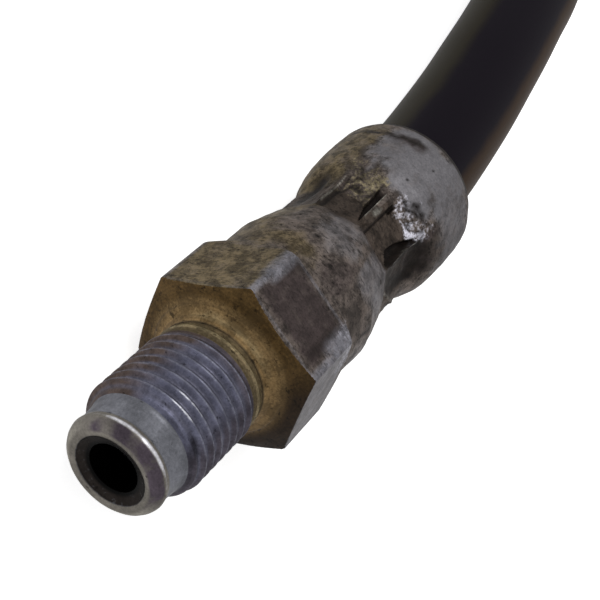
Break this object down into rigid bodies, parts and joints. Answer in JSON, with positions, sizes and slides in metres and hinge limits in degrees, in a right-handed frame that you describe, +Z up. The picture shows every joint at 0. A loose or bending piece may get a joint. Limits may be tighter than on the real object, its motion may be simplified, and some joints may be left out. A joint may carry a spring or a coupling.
{
  "type": "brake hose",
  "caption": "Flexible rubber brake hose with a crimped male threaded steel union at one end and a female one at the other.",
  "frame": {"origin": "on the surface it lies on, below the middle of the box round the two fittings", "axes": "+Z up from the surface; the male fitting's open end points to -X, the female fitting's open end to +Y, and the hose curves between them round the +X, -Y corner"},
  "size_m": [0.1853, 0.1711, 0.0151],
  "materials": {
    "fitting_steel": "satin, weathered",
    "insert_steel": "satin",
    "cover_rubber": "smooth, slight sheen",
    "liner_rubber": "matt",
    "braid_yarn": "woven yarn"
  },
  "bodies": {
    "root": {"male_fitting": "fitting_steel", "male_insert": "insert_steel", "female_fitting": "fitting_steel", "female_insert": "insert_steel", "hose_liner": "liner_rubber", "inner_braid": "braid_yarn", "outer_braid": "braid_yarn", "hose_cover": "cover_rubber"}
  },
  "joints": []
}
